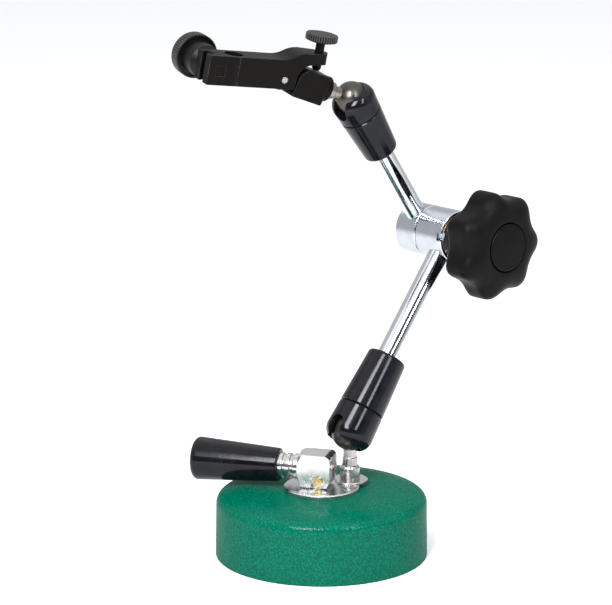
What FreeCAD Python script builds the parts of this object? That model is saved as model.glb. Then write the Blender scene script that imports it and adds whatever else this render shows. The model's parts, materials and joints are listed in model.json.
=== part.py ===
import FreeCAD, Part
import math
import operator
import os

import Sketcher

# Articulated indicator holder on a round switchable magnetic base.
# Millimetres, +Z up. The origin is the centre of the base's underside. +X is the way
# the lower arm leans, and the star knob faces -Y.

doc = FreeCAD.newDocument("IndicatorStand")
sheet = doc.addObject("Spreadsheet::Sheet", "Dims")

DIMENSIONS = (
    ("base_radius", 45.0, "outer radius of the magnetic base"),
    ("base_height", 28.0, "height of the base housing"),
    ("base_wall_radius", 44.7, "housing radius at the top of its drafted wall"),
    ("shoulder_radius", 3.75, "rounding between wall and top"),
    ("crown_radius", 49.0, "gentle crown that leads to the flat top"),
    ("crown_outer", 41.9, "radius where the crown starts"),
    ("crown_inner", 29.5, "radius where the flat top starts"),
    ("crown_drop", 1.6, "height lost across the crown"),
    ("wall_top", 22.77, "height of the straight wall"),
    ("cavity_radius", 31.0, "radius of the magnet chamber"),
    ("cavity_height", 20.0, "height of the magnet chamber"),
    ("pole_radius", 28.0, "inner pole plate radius"),
    ("pole_height", 5.0, "thickness of pole plate and ring"),
    ("magnet_radius", 26.0, "ring magnet radius"),
    ("magnet_height", 9.0, "ring magnet thickness"),
    ("yoke_height", 3.0, "steel yoke above the magnet"),
    ("slip", 0.1, "running gap between pieces that slide or roll"),
    ("rod_radius", 3.0, "lift rod radius"),
    ("rod_thread_radius", 2.5, "threaded lower end of the lift rod"),
    ("bush_radius", 6.0, "outer radius of the guide bush"),
    ("disc_radius", 16.0, "steel cover disc radius"),
    ("disc_height", 2.0, "steel cover disc thickness"),
    ("washer_radius", 7.6, "washer under the ball stud"),
    ("washer_height", 1.0, "washer thickness"),
    ("pin_height", 3.0, "lever pin above the cover disc with the lever flat"),
    ("lift_height", 5.35, "lever pin above the cover disc with the lever upright"),
    ("lever_near_half", 7.0, "handle axis to the block's face with the pin's head"),
    ("lever_far_half", 4.9, "handle axis to the block's face beside the ball stud"),
    ("lever_block_height", 14.6, "height of the lever block"),
    ("lever_front", 9.2, "pin axis to the handle side of the block"),
    ("lever_axis", 7.5, "handle axis above the cover disc"),
    ("lever_bar_radius", 9.7, "round bar that the block is milled from"),
    ("shank_radius", 5.5, "bright shank between block and grip"),
    ("grip_start", 18.1, "pin axis to the start of the grip"),
    ("grip_end", 56.4, "pin axis to the end of the grip"),
    ("grip_radius_near", 7.2, "grip radius at the shank"),
    ("grip_radius_far", 9.3, "grip radius at the far end"),
    ("pin_radius", 1.65, "lever pin radius"),
    ("stud_x", 13.2, "ball stud axis from the centre along X"),
    ("stud_y", -3.5, "ball stud axis from the centre along Y"),
    ("collar_radius", 4.3, "collar at the foot of the ball stud"),
    ("collar_height", 6.0, "height of that collar"),
    ("lower_ball_height", 51.8, "centre of the lower ball above the floor"),
    ("lower_lean", 37.4, "lower arm from the vertical, degrees"),
    ("upper_lean", 35.0, "upper arm from the vertical, degrees"),
    ("lower_length", 96.5, "lower ball centre to knuckle axis"),
    ("upper_length", 77.0, "knuckle axis to upper ball centre"),
    ("lower_ball_radius", 8.0, "lower ball"),
    ("upper_ball_radius", 7.0, "upper ball"),
    ("lower_neck_radius", 3.0, "neck below the lower ball"),
    ("lower_shank_radius", 3.25, "shank between that neck and the collar"),
    ("upper_neck_radius", 2.65, "shank beside the upper ball"),
    ("lower_mouth", 5.3, "ball centre to the lower cap's mouth"),
    ("upper_mouth", 2.5, "ball centre to the upper cap's mouth"),
    ("lower_mouth_radius", 10.5, "lower cap's outer radius at its mouth"),
    ("upper_mouth_radius", 9.65, "upper cap's outer radius at its mouth"),
    ("lower_mouth_bore", 8.0, "lower cap's flared bore at its mouth"),
    ("upper_mouth_bore", 6.75, "upper cap's flared bore at its mouth"),
    ("lower_nose", 5.0, "length of the lower cap's rounded nose"),
    ("lower_nose_radius", 6.5, "rounding of that nose"),
    ("upper_nose", 4.6, "length of the upper cap's rounded nose"),
    ("upper_nose_radius", 5.2, "rounding of that nose"),
    ("lower_slot_depth", 0.0, "ball centre to the round end of the lower slot"),
    ("upper_slot_depth", 1.3, "ball centre to the round end of the upper slot"),
    ("lower_slot_half", 3.35, "half width of the lower slot"),
    ("upper_slot_half", 3.5, "half width of the upper slot"),
    ("lower_opening_angle", 64.5, "edge of the lower ball seat, degrees off the axis"),
    ("upper_opening_angle", 71.5, "edge of the upper ball seat, degrees off the axis"),
    ("lower_groove", 10.7, "ball centre to the seam of cap and sleeve, lower"),
    ("upper_groove", 8.8, "ball centre to the seam of cap and sleeve, upper"),
    ("lower_sleeve_end", 36.2, "ball centre to the sleeve's tube end, lower"),
    ("upper_sleeve_end", 30.4, "ball centre to the sleeve's tube end, upper"),
    ("lower_sleeve_radius", 8.6, "sleeve radius at its tube end, lower"),
    ("upper_sleeve_radius", 7.6, "sleeve radius at its tube end, upper"),
    ("lower_pad_radius", 6.9, "thrust pad on the lower ball"),
    ("upper_pad_radius", 6.0, "thrust pad on the upper ball"),
    ("lower_spigot_radius", 8.4, "threaded spigot between cap and sleeve, lower"),
    ("upper_spigot_radius", 7.4, "threaded spigot between cap and sleeve, upper"),
    ("lower_tube_radius", 5.0, "lower arm tube"),
    ("upper_tube_radius", 4.5, "upper arm tube"),
    ("lower_push_radius", 2.9, "push rod inside the lower tube"),
    ("upper_push_radius", 2.5, "push rod inside the upper tube"),
    ("hub_radius", 11.2, "knuckle hubs"),
    ("seam_y", 6.7, "plane between the two hubs along Y"),
    ("lower_hub_length", 15.7, "seam to the knob end of the lower hub"),
    ("upper_hub_length", 12.0, "seam to the free end of the upper hub"),
    ("lower_tube_offset", 10.2, "seam to the lower tube's axis"),
    ("upper_tube_offset", 4.9, "seam to the upper tube's axis"),
    ("hub_gap", 0.15, "half of the gap between the hubs"),
    ("bolt_radius", 3.0, "central clamp bolt"),
    ("cone_radius", 5.5, "large end of the clamping cones"),
    ("cone_small_radius", 3.9, "small end of the clamping cones"),
    ("knob_start", 17.55, "seam to the inner end of the star knob"),
    ("knob_back", 28.3, "seam to the back of the lobes"),
    ("knob_rim", 40.0, "seam to the front edge of the lobes"),
    ("knob_front", 45.0, "seam to the centre of the knob's front"),
    ("knob_radius", 23.6, "star knob over its lobes"),
    ("knob_lobe_radius", 6.5, "rounding of each lobe"),
    ("knob_valley_radius", 12.2, "hollow between two lobes"),
    ("knob_valley_reach", 32.6, "knob axis to the centre of a hollow"),
    ("cap_radius", 10.2, "cap in the knob's front"),
    ("clamp_width", 12.2, "thickness of clamp body and rear block"),
    ("clamp_top", 8.4, "clamp body's top above the pivot pin"),
    ("clamp_bottom", 3.9, "clamp body's underside below the pivot pin"),
    ("clamp_reach", 35.6, "pivot pin to the front of the jaws"),
    ("stem_bore_radius", 4.0, "bore for an 8 mm indicator stem"),
    ("stem_bore_reach", 22.3, "pivot pin to the stem bore"),
    ("clamp_screw_reach", 30.2, "pivot pin to the clamp screw"),
    ("tab_top", 11.6, "top of the tail above the pivot pin"),
    ("tab_bottom", 6.7, "underside of the tail above the pivot pin"),
    ("thumb_reach", 16.9, "pivot pin back to the fine adjustment screw"),
    ("tab_end_radius", 3.6, "rounded end of the tail around that screw"),
    ("block_top", 7.2, "rear block's top above the pivot pin"),
    ("block_bottom", 5.3, "rear block's underside below the pivot pin"),
    ("block_front", 6.2, "pivot pin back to the full width of the rear block"),
    ("block_back", 20.5, "pivot pin back to the rear block's end"),
    ("boss_radius", 5.4, "round boss at the rear block's end"),
    ("boss_end", 23.7, "pivot pin back to the end of that boss"),
    ("stud_rise", 1.6, "upper stud's axis above the pivot pin"),
    ("ball_reach", 36.8, "pivot pin back to the upper ball's centre"),
    ("tongue_radius", 5.0, "rounded tongue around the pivot pin"),
    ("tongue_width", 5.0, "thickness of that tongue"),
    ("pivot_radius", 1.5, "pivot pin radius"),
)


class Size:
    """A number together with the sheet expression that gives it."""

    def __init__(self, value, text):
        self.value = value
        self.text = text

    def __add__(self, other):
        return combined(self, "+", other)

    def __radd__(self, other):
        return combined(other, "+", self)

    def __sub__(self, other):
        return combined(self, "-", other)

    def __rsub__(self, other):
        return combined(other, "-", self)

    def __mul__(self, other):
        return combined(self, "*", other)

    def __rmul__(self, other):
        return combined(other, "*", self)

    def __truediv__(self, other):
        return combined(self, "/", other)

    def __neg__(self):
        return combined(0, "-", self)


OPERATIONS = {"+": operator.add, "-": operator.sub, "*": operator.mul, "/": operator.truediv}


def sized(number):
    if isinstance(number, Size):
        return number
    return Size(float(number), repr(float(number)))


def combined(left, sign, right):
    left = sized(left)
    right = sized(right)
    return Size(OPERATIONS[sign](left.value, right.value), f"({left.text} {sign} {right.text})")


def fill_sheet():
    """One row per driving dimension: its name, its value and what it is."""
    for row, (alias, value, meaning) in enumerate(DIMENSIONS, start=1):
        sheet.set(f"A{row}", alias)
        sheet.set(f"B{row}", str(value))
        sheet.set(f"C{row}", meaning)
        sheet.setAlias(f"B{row}", alias)
    doc.recompute()


def dim(alias):
    return Size(float(sheet.get(alias)), f"Dims.{alias}")


def bind(feature, prop, size):
    size = sized(size)
    feature.setExpression(prop, size.text)


def vector(x, y, z):
    return FreeCAD.Vector(sized(x).value, sized(y).value, sized(z).value)


# ---------------------------------------------------------------- primitives and booleans


def put(feature, x=0, y=0, z=0, rotation=None):
    """Places a feature; the offsets stay bound to the sheet."""
    if rotation is not None:
        feature.Placement.Rotation = rotation
    for name, offset in (("x", x), ("y", y), ("z", z)):
        bind(feature, f"Placement.Base.{name}", offset)
    return feature


def cylinder(name, radius, start, end, x=0, y=0):
    """A cylinder along Z from start to end."""
    feature = doc.addObject("Part::Cylinder", name)
    bind(feature, "Radius", radius)
    bind(feature, "Height", sized(end) - sized(start))
    return put(feature, x, y, start)


def cone(name, radius_start, radius_end, start, end):
    feature = doc.addObject("Part::Cone", name)
    bind(feature, "Radius1", radius_start)
    bind(feature, "Radius2", radius_end)
    bind(feature, "Height", sized(end) - sized(start))
    return put(feature, 0, 0, start)


def sphere(name, radius, z=0):
    feature = doc.addObject("Part::Sphere", name)
    bind(feature, "Radius", radius)
    return put(feature, 0, 0, z)


def box(name, x_range, y_range, z_range):
    feature = doc.addObject("Part::Box", name)
    for prop, (low, high) in (("Length", x_range), ("Width", y_range), ("Height", z_range)):
        bind(feature, prop, sized(high) - sized(low))
    return put(feature, x_range[0], y_range[0], z_range[0])


ALONG_X = FreeCAD.Rotation(FreeCAD.Vector(0, 1, 0), 90)
ALONG_Y = FreeCAD.Rotation(FreeCAD.Vector(1, 0, 0), -90)


def cylinder_x(name, radius, start, end, y=0, z=0):
    """A cylinder along X from start to end."""
    feature = cylinder(name, radius, 0, sized(end) - sized(start))
    return put(feature, start, y, z, ALONG_X)


def cone_x(name, radius_start, radius_end, start, end, z=0):
    feature = cone(name, radius_start, radius_end, 0, sized(end) - sized(start))
    return put(feature, start, 0, z, ALONG_X)


def cylinder_y(name, radius, start, end, x=0, z=0):
    """A cylinder along Y from start to end."""
    feature = cylinder(name, radius, 0, sized(end) - sized(start))
    return put(feature, x, start, z, ALONG_Y)


def fuse(name, *parts):
    feature = doc.addObject("Part::MultiFuse", name)
    feature.Shapes = list(parts)
    feature.Refine = True
    return feature


def common(name, *parts):
    feature = doc.addObject("Part::MultiCommon", name)
    feature.Shapes = list(parts)
    return feature


def cut(name, base, *tools):
    feature = doc.addObject("Part::Cut", name)
    feature.Base = base
    feature.Tool = tools[0] if len(tools) == 1 else fuse(name + "_tools", *tools)
    return feature


def rounded(name, base, radius, wanted):
    """Fillets every edge of base for which wanted(edge) holds."""
    doc.recompute()
    feature = doc.addObject("Part::Fillet", name)
    feature.Base = base
    edges = enumerate(base.Shape.Edges, start=1)
    feature.Edges = [(number, radius, radius) for number, edge in edges if wanted(edge)]
    return feature


# ---------------------------------------------------------------- sketched bodies


def attached_sketch(body, name, role):
    sketch = body.newObject("Sketcher::SketchObject", name)
    plane = [origin for origin in body.Origin.OriginFeatures if origin.Role == role][0]
    sketch.AttachmentSupport = [(plane, "")]
    sketch.MapMode = "FlatFace"
    return sketch


def arc_between(start, end, radius, side):
    """The minor arc from start to end; side 1 has its centre on the left, -1 on the right."""
    middle = (start + end) / 2
    chord = end - start
    reach = math.sqrt(max(radius**2 - (chord.Length / 2) ** 2, 0))
    left = FreeCAD.Vector(-chord.y, chord.x, 0) / chord.Length
    centre = middle + left * reach * side
    first, last = (start, end) if side > 0 else (end, start)
    angles = [math.atan2(point.y - centre.y, point.x - centre.x) for point in (first, last)]
    circle = Part.Circle(centre, FreeCAD.Vector(0, 0, 1), radius)
    return Part.ArcOfCircle(circle, angles[0], angles[1])


def outline_sketch(body, name, role, outline):
    """A closed, fully constrained sketch.

    A corner is (x, y), or (x, y, radius, side) where an arc leads to it."""
    sketch = attached_sketch(body, name, role)
    points = [vector(corner[0], corner[1], 0) for corner in outline]
    ends = []
    for index, corner in enumerate(outline):
        start = points[index - 1]
        if len(corner) == 2:
            sketch.addGeometry(Part.LineSegment(start, points[index]), False)
            ends.append((1, 2))
        else:
            radius, side = corner[2:]
            sketch.addGeometry(arc_between(start, points[index], sized(radius).value, side), False)
            ends.append((1, 2) if side > 0 else (2, 1))
    for index, corner in enumerate(outline):
        following = (index + 1) % len(outline)
        end_point = ends[index][1]
        sketch.addConstraint(
            Sketcher.Constraint("Coincident", index, end_point, following, ends[following][0])
        )
        for kind, length in (("DistanceX", corner[0]), ("DistanceY", corner[1])):
            size = sized(length)
            number = sketch.addConstraint(
                Sketcher.Constraint(kind, -1, 1, index, end_point, size.value)
            )
            sketch.setExpression(f"Constraints[{number}]", size.text)
        if len(corner) == 4:
            radius = sized(corner[2])
            number = sketch.addConstraint(Sketcher.Constraint("Radius", index, radius.value))
            sketch.setExpression(f"Constraints[{number}]", radius.text)
    return sketch


def turned(name, outline):
    """A body turned about Z from an outline of (radius, height) corners."""
    body = doc.addObject("PartDesign::Body", name)
    sketch = outline_sketch(body, name + "_profile", "XZ_Plane", outline)
    revolution = body.newObject("PartDesign::Revolution", name + "_turn")
    revolution.Profile = sketch
    revolution.ReferenceAxis = (sketch, ["V_Axis"])
    revolution.Angle = 360
    return body


def extruded(name, role, outline, length):
    """A body padded by length, half to each side of its sketch plane."""
    body = doc.addObject("PartDesign::Body", name)
    sketch = outline_sketch(body, name + "_profile", role, outline)
    pad = body.newObject("PartDesign::Pad", name + "_pad")
    pad.Profile = sketch
    pad.Midplane = True
    bind(pad, "Length", length)
    return body


def prism(name, role, corners, length):
    """Like extruded, with a polygon of plain corner numbers."""
    return extruded(name, role, [(x, y) for x, y in corners], length)


def regular_polygon(sides, across_flats):
    reach = across_flats / 2 / math.cos(math.pi / sides)
    turns = [2 * math.pi * (index + 0.5) / sides for index in range(sides)]
    return [(reach * math.cos(turn), reach * math.sin(turn)) for turn in turns]


# ---------------------------------------------------------------- placements and nodes

fill_sheet()
nodes = []


def node(feature, label, placement=None):
    """Names a finished sub-part and puts it in its place."""
    feature.Label = label
    if placement is not None:
        feature.Placement = placement
    nodes.append(feature)
    return feature


def lean_placement(origin, degrees):
    """A frame at origin whose Z leans from the vertical towards +X by that angle."""
    return FreeCAD.Placement(origin, FreeCAD.Rotation(FreeCAD.Vector(0, 1, 0), degrees))


lower_lean = math.radians(dim("lower_lean").value)
upper_lean = math.radians(dim("upper_lean").value)
seam_y = dim("seam_y").value
lower_arm_y = dim("stud_y").value
upper_arm_y = seam_y + dim("upper_tube_offset").value
lower_ball = vector(dim("stud_x"), dim("stud_y"), dim("lower_ball_height"))
lower_reach = dim("lower_length").value
upper_reach = dim("upper_length").value
knuckle = lower_ball + FreeCAD.Vector(math.sin(lower_lean), 0, math.cos(lower_lean)) * lower_reach
upper_rise = FreeCAD.Vector(-math.sin(upper_lean), 0, math.cos(upper_lean)) * upper_reach
upper_ball = FreeCAD.Vector(knuckle.x, upper_arm_y, knuckle.z) + upper_rise

LOWER_ARM = lean_placement(lower_ball, math.degrees(lower_lean))
UPPER_ARM = lean_placement(upper_ball, 180 - math.degrees(upper_lean))
# The knuckle's own Z runs from the seam towards the knob, its Y is up.
KNUCKLE = FreeCAD.Placement(
    FreeCAD.Vector(knuckle.x, seam_y, knuckle.z), FreeCAD.Rotation(FreeCAD.Vector(1, 0, 0), 90)
)

# The lever's X runs from the pin towards the grip, and its Z is up.
LEVER_ANGLE = 121.5
lever_top = dim("base_height") + dim("disc_height")
LEVER = FreeCAD.Placement(
    vector(0, 0, lever_top), FreeCAD.Rotation(FreeCAD.Vector(0, 0, 1), LEVER_ANGLE)
)

# The clamp's X runs from the pivot pin to the jaws. The rear block is bent upwards from
# it about the pin, which sets the clamp body almost level.
CLAMP_YAW = 165.2
CLAMP_PITCH = -7.5
CLAMP_ROLL = -7.1
REAR_BEND = 13.8
clamp_turn = FreeCAD.Rotation(CLAMP_YAW, CLAMP_PITCH, CLAMP_ROLL)
rear_turn = clamp_turn * FreeCAD.Rotation(FreeCAD.Vector(0, 1, 0), -REAR_BEND)
ball_in_block = vector(-dim("ball_reach"), 0, dim("stud_rise"))
pivot = upper_ball - rear_turn.multVec(ball_in_block)
CLAMP = FreeCAD.Placement(pivot, clamp_turn)
REAR = FreeCAD.Placement(pivot, rear_turn)
# The upper stud's own Z runs from the ball towards the rear block.
STUD = FreeCAD.Placement(upper_ball, rear_turn * FreeCAD.Rotation(FreeCAD.Vector(0, 1, 0), 90))


# ---------------------------------------------------------------- magnetic base


def build_base():
    """Housing with its pole faces, cover disc, washer and guide bush."""
    height = dim("base_height")
    cavity = dim("cavity_radius")
    chamber = dim("cavity_height")
    edge = 0.4
    housing = turned(
        "housing_blank",
        [
            (cavity, 0),
            (dim("base_radius") - edge, 0),
            (dim("base_radius"), edge),
            (dim("base_wall_radius"), dim("wall_top")),
            (dim("crown_outer"), height - dim("crown_drop"), dim("shoulder_radius"), 1),
            (dim("crown_inner"), height, dim("crown_radius"), 1),
            (dim("bush_radius"), height),
            (dim("bush_radius"), chamber),
            (cavity, chamber),
        ],
    )
    thread = dim("rod_thread_radius")
    stud_hole = cylinder("stud_hole", thread, chamber - 1, height + 1, dim("stud_x"), dim("stud_y"))
    node(cut("housing_drilled", housing, stud_hole), "base_housing")

    ring = turned(
        "spacer_ring",
        [
            (dim("pole_radius"), 0),
            (cavity, 0),
            (cavity, dim("pole_height")),
            (dim("pole_radius"), dim("pole_height")),
        ],
    )
    node(ring, "brass_spacer_ring")
    node(cylinder("pole_plate_disc", dim("pole_radius"), 0, dim("pole_height")), "inner_pole_plate")

    bush = turned(
        "bush",
        [
            (dim("rod_radius") + dim("slip") / 2, chamber),
            (dim("bush_radius"), chamber),
            (dim("bush_radius"), height),
            (dim("rod_radius") + dim("slip") / 2, height),
        ],
    )
    node(bush, "guide_bush")

    top = height + dim("disc_height")
    disc = turned(
        "disc_blank",
        [
            (dim("rod_radius") + 0.3, height),
            (dim("disc_radius"), height),
            (dim("disc_radius"), top - edge),
            (dim("disc_radius") - edge, top),
            (dim("rod_radius") + 0.3, top),
        ],
    )
    disc_hole = cylinder("disc_hole", thread, height - 1, top + 1, dim("stud_x"), dim("stud_y"))
    node(cut("disc_drilled", disc, disc_hole), "cover_disc")

    washer = turned(
        "washer_blank",
        [
            (thread, top),
            (dim("washer_radius"), top),
            (dim("washer_radius"), top + dim("washer_height") - 0.25),
            (dim("washer_radius") - 0.25, top + dim("washer_height")),
            (thread, top + dim("washer_height")),
        ],
    )
    # One flat on the washer's rim leaves room for the corner of the lever block.
    flat = box("washer_flat", (6.0, 9), (-9, 9), (top - 1, top + 2))
    stud_axis = vector(dim("stud_x"), dim("stud_y"), 0)
    towards_lever = FreeCAD.Rotation(FreeCAD.Vector(0, 0, 1), 148)
    washer_place = FreeCAD.Placement(stud_axis, towards_lever)
    node(cut("washer_cut", washer, flat), "stud_washer", washer_place)


def build_lower_stud():
    """The stud that is screwed into the base, with a spigot that carries the ball."""
    seat = dim("base_height") + dim("disc_height") + dim("washer_height")
    thread = dim("rod_thread_radius")
    collar_top = seat + dim("collar_height")
    ball_height = dim("lower_ball_height")
    neck = dim("lower_neck_radius")
    shank = dim("lower_shank_radius")
    shoulder = ball_height - ball_flat("lower") - dim("slip")
    stud = turned(
        "lower_stud",
        [
            (0, dim("cavity_height") + 0.5),
            (thread, dim("cavity_height") + 0.5),
            (thread, seat),
            (dim("collar_radius"), seat),
            (dim("collar_radius"), collar_top - 0.8),
            (dim("collar_radius") - 0.6, collar_top),
            (shank, collar_top + 0.3),
            (shank, ball_height - 11.2),
            (neck, ball_height - 10.9),
            (neck, shoulder),
            (SPIGOT_RADIUS, shoulder),
            (SPIGOT_RADIUS, ball_height),
            (0, ball_height),
        ],
    )
    stud_axis = vector(dim("stud_x"), dim("stud_y"), 0)
    node(stud, "lower_ball_stud", FreeCAD.Placement(stud_axis, FreeCAD.Rotation()))


def build_magnet_lift():
    """Magnet, yoke and nut on the rod that the lever lifts."""
    slip = dim("slip")
    low = dim("pole_height") + slip
    magnet_top = low + dim("magnet_height")
    yoke_top = magnet_top + dim("yoke_height")
    thread = dim("rod_thread_radius")
    counterbore_radius = 8.0
    counterbore_depth = 4.5
    magnet = turned(
        "magnet",
        [
            (counterbore_radius, low),
            (dim("magnet_radius"), low),
            (dim("magnet_radius"), magnet_top),
            (thread, magnet_top),
            (thread, low + counterbore_depth),
            (counterbore_radius, low + counterbore_depth),
        ],
    )
    node(magnet, "ring_magnet")
    yoke = cylinder("yoke_disc", dim("magnet_radius"), magnet_top, yoke_top)
    yoke_hole = cylinder("yoke_hole", thread, magnet_top - 1, yoke_top + 1)
    node(cut("yoke_drilled", yoke, yoke_hole), "magnet_yoke")

    pin_z = lever_top + dim("pin_height")
    eye_top = pin_z + 3.2
    rod = turned(
        "rod_blank",
        [
            (0, low + 0.4),
            (thread, low + 0.4),
            (thread, yoke_top),
            (dim("rod_radius"), yoke_top),
            (dim("rod_radius"), eye_top - 1.2),
            (dim("rod_radius") - 1.2, eye_top),
            (0, eye_top),
        ],
    )
    reach = dim("rod_radius") + 1
    eye = cylinder_y("rod_eye", dim("pin_radius") + slip / 2, -reach, reach, 0, pin_z)
    drilled = cut("rod_drilled", rod, eye)
    node(drilled, "lift_rod", FreeCAD.Placement(FreeCAD.Vector(), LEVER.Rotation))

    nut_height = 3.6
    nut_blank = prism("nut_blank", "XY_Plane", regular_polygon(6, 10.0), nut_height)
    nut_hole = cylinder("nut_hole", thread, -nut_height, nut_height)
    nut_z = sized(low + counterbore_depth - nut_height / 2).value
    nut_place = FreeCAD.Placement(FreeCAD.Vector(0, 0, nut_z), FreeCAD.Rotation())
    node(cut("nut_drilled", nut_blank, nut_hole), "magnet_nut", nut_place)


def build_lever():
    """Cam block, pin, shank and grip. The block's lower corner lifts the rod evenly.

    The far face is nearer the handle's axis, because it swings past the ball stud."""
    slip = dim("slip")
    pin_z = dim("pin_height")
    back = dim("lift_height")
    front = dim("lever_front")
    top = dim("lever_block_height")
    near_half = dim("lever_near_half")
    far_half = dim("lever_far_half")
    axis = dim("lever_axis")
    early_radius = 3.55
    late_radius = 4.7
    heel = 1.464
    corner_x = heel + early_radius * math.sin(math.pi / 4)
    corner_z = early_radius * (1 - math.cos(math.pi / 4))
    cheek = 1.36
    top_round = 2.4
    blank = extruded(
        "lever_blank",
        "XZ_Plane",
        [
            (front, slip),
            (front, top),
            (-back + top_round, top),
            (-back, top - top_round, top_round, 1),
            (-back, pin_z + cheek),
            (-corner_x, corner_z + slip, late_radius, 1),
            (-heel, slip, early_radius, 1),
        ],
        2 * near_half,
    )
    bar = fuse(
        "lever_bar",
        cylinder_x("lever_bar_round", dim("lever_bar_radius"), -back - 1, front - 2.2, 0, axis),
        cone_x(
            "lever_bar_taper", dim("lever_bar_radius"), 6.8, front - 2.2, front + 0.01, axis
        ),
    )
    slot_half = dim("rod_radius") + 0.15
    slot_end = dim("rod_radius") + 0.9
    slot = box("lever_slot", (-back - 1, slot_end), (-slot_half, slot_half), (-1, pin_z + 5.0))
    far_side = box("lever_far_side", (-20, 20), (-20, -far_half), (-5, 25))
    pin_hole = cylinder_y("lever_pin_hole", dim("pin_radius"), -10, near_half + 1, 0, pin_z)
    counterbore = cylinder_y(
        "lever_counterbore", 3.1, near_half - 1.5, near_half + 1, 0, pin_z
    )
    spigot_hole = cylinder_x("lever_spigot_hole", 3.0, front - 3.6, front + 1, 0, axis)
    turned_block = common("lever_turned", blank, bar)
    tools = (slot, far_side, pin_hole, counterbore, spigot_hole)
    node(cut("lever_milled", turned_block, *tools), "lever_block", LEVER)

    pin = fuse(
        "pin_fused",
        cylinder_y("pin_shaft", dim("pin_radius"), -far_half + 0.3, near_half - 1, 0, pin_z),
        cylinder_y("pin_head", 2.0, near_half - 1.5, near_half - 0.7, 0, pin_z),
    )
    node(pin, "lever_pin", LEVER)

    shank_radius = dim("shank_radius")
    grip_start = dim("grip_start")
    ring_depth = 0.7
    shank = turned(
        "shank",
        [
            (0, front - 3.6),
            (3.0, front - 3.6),
            (3.0, front),
            (shank_radius, front),
            (shank_radius, front + 2.2),
            (shank_radius - ring_depth, front + 2.6),
            (shank_radius - ring_depth, front + 3.6),
            (shank_radius, front + 4.0),
            (shank_radius, front + 5.6),
            (shank_radius - ring_depth, front + 6.0),
            (shank_radius - ring_depth, front + 6.8),
            (shank_radius, front + 7.2),
            (shank_radius, grip_start),
            (3.0, grip_start),
            (3.0, grip_start + 14),
            (0, grip_start + 14),
        ],
    )
    along = FreeCAD.Placement(vector(0, 0, axis), ALONG_X)
    node(shank, "lever_shank", LEVER.multiply(along))

    end = dim("grip_end")
    near = dim("grip_radius_near")
    far = dim("grip_radius_far")
    end_round = 2.6
    grip = turned(
        "grip",
        [
            (3.0, grip_start),
            (near - 1.0, grip_start),
            (near, grip_start + 1.0, 1.0, 1),
            (far, end - end_round),
            (far - end_round, end, end_round, 1),
            (0, end),
            (0, grip_start + 14.5),
            (3.0, grip_start + 14.5),
        ],
    )
    node(grip, "lever_grip", LEVER.multiply(along))


# ---------------------------------------------------------------- arms

SPIGOT_RADIUS = 2.0
SPIGOT_DEPTH = 6.0
SEAT_TOP = 5.0
PAD_START = 5.2
PAD_END = 12.5
PAD_POCKET = 14.5
TUBE_SEAT = 22.0


def ball_flat(arm):
    """Distance from the ball's centre to the flat where its shank starts."""
    radius = dim(f"{arm}_ball_radius").value
    neck = dim(f"{arm}_neck_radius").value
    return math.sqrt(radius**2 - neck**2)


def build_ball(arm, placement):
    """A ball with a blind bore for its stud, which comes from local -Z."""
    radius = dim(f"{arm}_ball_radius")
    flat = ball_flat(arm)
    bore = cylinder(f"{arm}_ball_bore", SPIGOT_RADIUS + dim("slip") / 2, -radius - 1, 0.1)
    face = cylinder(f"{arm}_ball_face", radius, -radius - 1, -flat)
    solid = cut(f"{arm}_ball_cut", sphere(f"{arm}_ball_blank", radius), bore, face)
    node(solid, f"{arm}_ball", placement)


def sleeve_radius_at(arm, z):
    """Outer radius of the tapered cap and sleeve at a distance z from the ball."""
    mouth = dim(f"{arm}_mouth")
    mouth_radius = dim(f"{arm}_mouth_radius")
    end_radius = dim(f"{arm}_sleeve_radius")
    nose = dim(f"{arm}_nose") - mouth
    share = (sized(z) - nose) / (dim(f"{arm}_sleeve_end") - nose)
    return mouth_radius + (end_radius - mouth_radius) * share


def build_socket_cap(arm, placement, slot_side):
    """The cap that holds the ball. Its U slot lets the stud lie square to the arm."""
    seat = dim(f"{arm}_ball_radius") + dim("slip")
    mouth = dim(f"{arm}_mouth")
    mouth_radius = dim(f"{arm}_mouth_radius")
    angle = math.radians(dim(f"{arm}_opening_angle").value)
    seam = dim(f"{arm}_groove") - dim("hub_gap")
    spigot = dim(f"{arm}_spigot_radius")
    nose = dim(f"{arm}_nose")
    blank = turned(
        f"{arm}_cap_blank",
        [
            (dim(f"{arm}_mouth_bore"), -mouth),
            (dim(f"{arm}_mouth_bore") + 0.15, -mouth),
            (mouth_radius, nose - mouth, dim(f"{arm}_nose_radius"), 1),
            (sleeve_radius_at(arm, seam - 0.4), seam - 0.4),
            (sleeve_radius_at(arm, seam) - 0.4, seam),
            (spigot, seam),
            (spigot, SEAT_TOP),
            (seat, SEAT_TOP),
            (seat, 0),
            (seat * math.sin(angle), -seat * math.cos(angle), seat, -1),
        ],
    )
    half = dim(f"{arm}_slot_half")
    depth = dim(f"{arm}_slot_depth")
    reach = mouth_radius + 1
    span = (-reach, 0) if slot_side < 0 else (0, reach)
    slot_box = box(f"{arm}_slot_box", span, (-half, half), (-mouth - 1, depth))
    slot_end = cylinder_x(f"{arm}_slot_end", half, span[0], span[1], 0, depth)
    slotted = cut(f"{arm}_cap_slotted", blank, slot_box, slot_end)
    node(slotted, f"{arm}_socket_cap", placement)


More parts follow.
